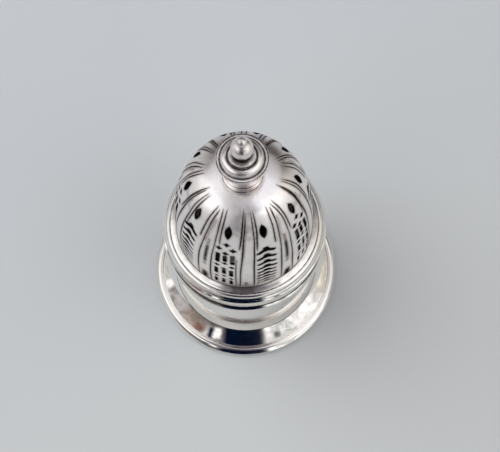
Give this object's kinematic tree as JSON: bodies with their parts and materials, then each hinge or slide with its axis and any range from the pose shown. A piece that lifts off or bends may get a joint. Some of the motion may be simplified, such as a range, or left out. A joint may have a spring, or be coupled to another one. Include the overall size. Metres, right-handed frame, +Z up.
{
  "type": "sugar caster",
  "caption": "Silver sugar caster: drum body on a spreading foot, with a pull-off domed cover pierced for shaking sugar and topped by a turned finial.",
  "frame": {"origin": "middle of the foot's underside, on the table", "axes": "+Z up along the axis that every part is turned about; the first oval of a scale panel lies at 218.5 degrees from +X"},
  "size_m": [0.072, 0.072, 0.1256],
  "materials": {
    "polished_silver": "polished silver with fine handling scratches",
    "satin_silver": "softly worn silver with dark tarnish in the engraving and piercing",
    "inside_silver": "plain unpolished silver inside and underneath"
  },
  "bodies": {
    "body": {"foot_base_wire": "polished_silver", "foot_flange": "polished_silver", "foot_edge_moulding": "polished_silver", "body_shell": "polished_silver", "body_base_plate": "inside_silver", "body_mouth_ring": "inside_silver"},
    "cover": {"cover_edge_wire": "polished_silver", "cover_bezel": "inside_silver", "cover_band": "polished_silver", "cover_bead": "polished_silver", "cover_shoulder": "polished_silver", "cover_dome": "satin_silver", "finial_collar_ring": "satin_silver", "finial_collar": "satin_silver", "finial_disc": "polished_silver", "finial": "polished_silver"}
  },
  "joints": [
    {"name": "cover_lift", "type": "slide", "parent": "body", "child": "cover", "axis": [0, 0, 1], "range_m": [0, 0.08]}
  ]
}
